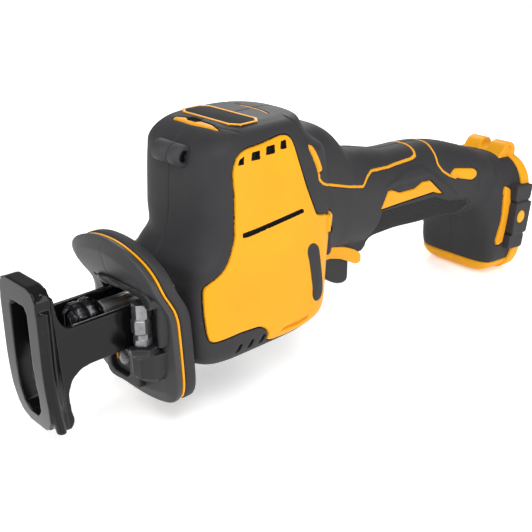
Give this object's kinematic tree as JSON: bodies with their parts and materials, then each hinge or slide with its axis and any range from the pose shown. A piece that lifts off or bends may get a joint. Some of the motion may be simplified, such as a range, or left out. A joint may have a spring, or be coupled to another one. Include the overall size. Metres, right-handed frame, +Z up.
{
  "type": "reciprocating saw",
  "caption": "Compact one-hand cordless reciprocating saw with a vertical motor tower, in-line rubber-covered handle, pivoting shoe, keyless blade clamp and a rear battery socket, shown bare",
  "frame": {"origin": "Under the middle of the bounding box, on the plane through the tool's lowest point.", "axes": "+X runs along the tool from the shoe to the battery socket, -Y is the tool's left side, +Z is up."},
  "size_m": [0.3073, 0.0658, 0.1202],
  "materials": {
    "yellow_plastic": "satin moulded nylon",
    "black_overmould": "fine-grained soft overmould",
    "grey_plastic": "satin moulded",
    "black_plastic": "fine satin",
    "lamp_glass": "clear moulded lens",
    "lever_metal": "tumbled zinc plate",
    "black_enamel": "glossy dark coating",
    "plain_steel": "ground",
    "dark_steel": "blackened",
    "bronze": "plain",
    "seal_rubber": "smooth",
    "cast_alloy": "die cast",
    "board_green": "lacquered circuit board"
  },
  "bodies": {
    "frame": {"housing_left": "yellow_plastic", "housing_right": "yellow_plastic", "overmould_left": "black_overmould", "overmould_right": "black_overmould", "guard_front": "grey_plastic", "guard_band": "yellow_plastic", "guard_rear": "grey_plastic", "nose_block": "grey_plastic", "lamp_lens": "lamp_glass", "shoe_pivot_pin": "plain_steel", "shaft_bushing": "bronze", "shaft_seal": "seal_rubber", "crank_axle": "plain_steel", "gearcase": "cast_alloy", "gearcase_cover": "cast_alloy", "motor_stator": "dark_steel", "lower_bearing": "plain_steel", "upper_bearing": "plain_steel", "bearing_carrier": "black_plastic", "heat_sink": "cast_alloy", "controller_board": "board_green", "switch_body": "black_plastic", "battery_receiver": "black_plastic", "terminal_1": "bronze", "terminal_2": "bronze", "terminal_3": "bronze", "trigger_bezel": "yellow_plastic", "nameplate": "black_plastic", "side_pad_left": "black_overmould", "side_pad_right": "black_overmould", "side_bumper_left": "black_overmould", "side_bumper_right": "black_overmould", "bumper_dot_left": "yellow_plastic", "bumper_dot_right": "yellow_plastic", "screw_front": "dark_steel", "screw_1": "dark_steel", "screw_2": "dark_steel", "screw_3": "dark_steel", "screw_4": "dark_steel", "screw_5": "dark_steel", "screw_6": "dark_steel", "screw_7": "dark_steel"},
    "shoe": {"shoe": "black_enamel"},
    "ram": {"reciprocating_shaft": "plain_steel", "blade_clamp": "dark_steel", "clamp_sleeve": "dark_steel", "scotch_yoke": "plain_steel"},
    "clamp_lever": {"clamp_lever": "lever_metal"},
    "crank": {"crank_gear": "plain_steel", "crank_pin": "plain_steel", "counterweight": "plain_steel"},
    "rotor": {"motor_rotor": "dark_steel", "motor_shaft": "plain_steel", "pinion": "plain_steel", "cooling_fan": "black_plastic"},
    "trigger": {"trigger": "black_plastic"},
    "lock_button": {"lock_off_button": "black_plastic"}
  },
  "joints": [
    {"name": "shoe_pivot", "type": "hinge", "parent": "frame", "child": "shoe", "pos_m": [-0.1005, 0, 0.0435], "axis": [0, 1, 0], "range_deg": [-8, 8]},
    {"name": "ram_slide", "type": "slide", "parent": "frame", "child": "ram", "axis": [1, 0, 0], "range_m": [-0.008, 0.008]},
    {"name": "lever_turn", "type": "hinge", "parent": "frame", "child": "clamp_lever", "pos_m": [-0.1107, -0.0174, 0.049], "axis": [0, 0, 1], "range_deg": [0, 70], "stiffness_Nm_per_rad": 0.02, "springref_deg": -5.73},
    {"name": "crank_spin", "type": "hinge", "parent": "frame", "child": "crank", "pos_m": [-0.04036, 0, 0.063], "axis": [0, 0, 1], "continuous": true},
    {"name": "rotor_spin", "type": "hinge", "parent": "frame", "child": "rotor", "pos_m": [-0.054, 0, 0.09], "axis": [0, 0, 1], "continuous": true},
    {"name": "trigger_slide", "type": "slide", "parent": "frame", "child": "trigger", "axis": [0, 0, 1], "range_m": [0, 0.005], "stiffness_N_per_m": 400, "springref_m": -0.003},
    {"name": "lock_slide", "type": "slide", "parent": "frame", "child": "lock_button", "axis": [0, 1, 0], "range_m": [-0.003, 0.003]}
  ],
  "couplings": [
    {"joint": "rotor_spin", "follows": "crank_spin", "ratio": -4.5}
  ]
}
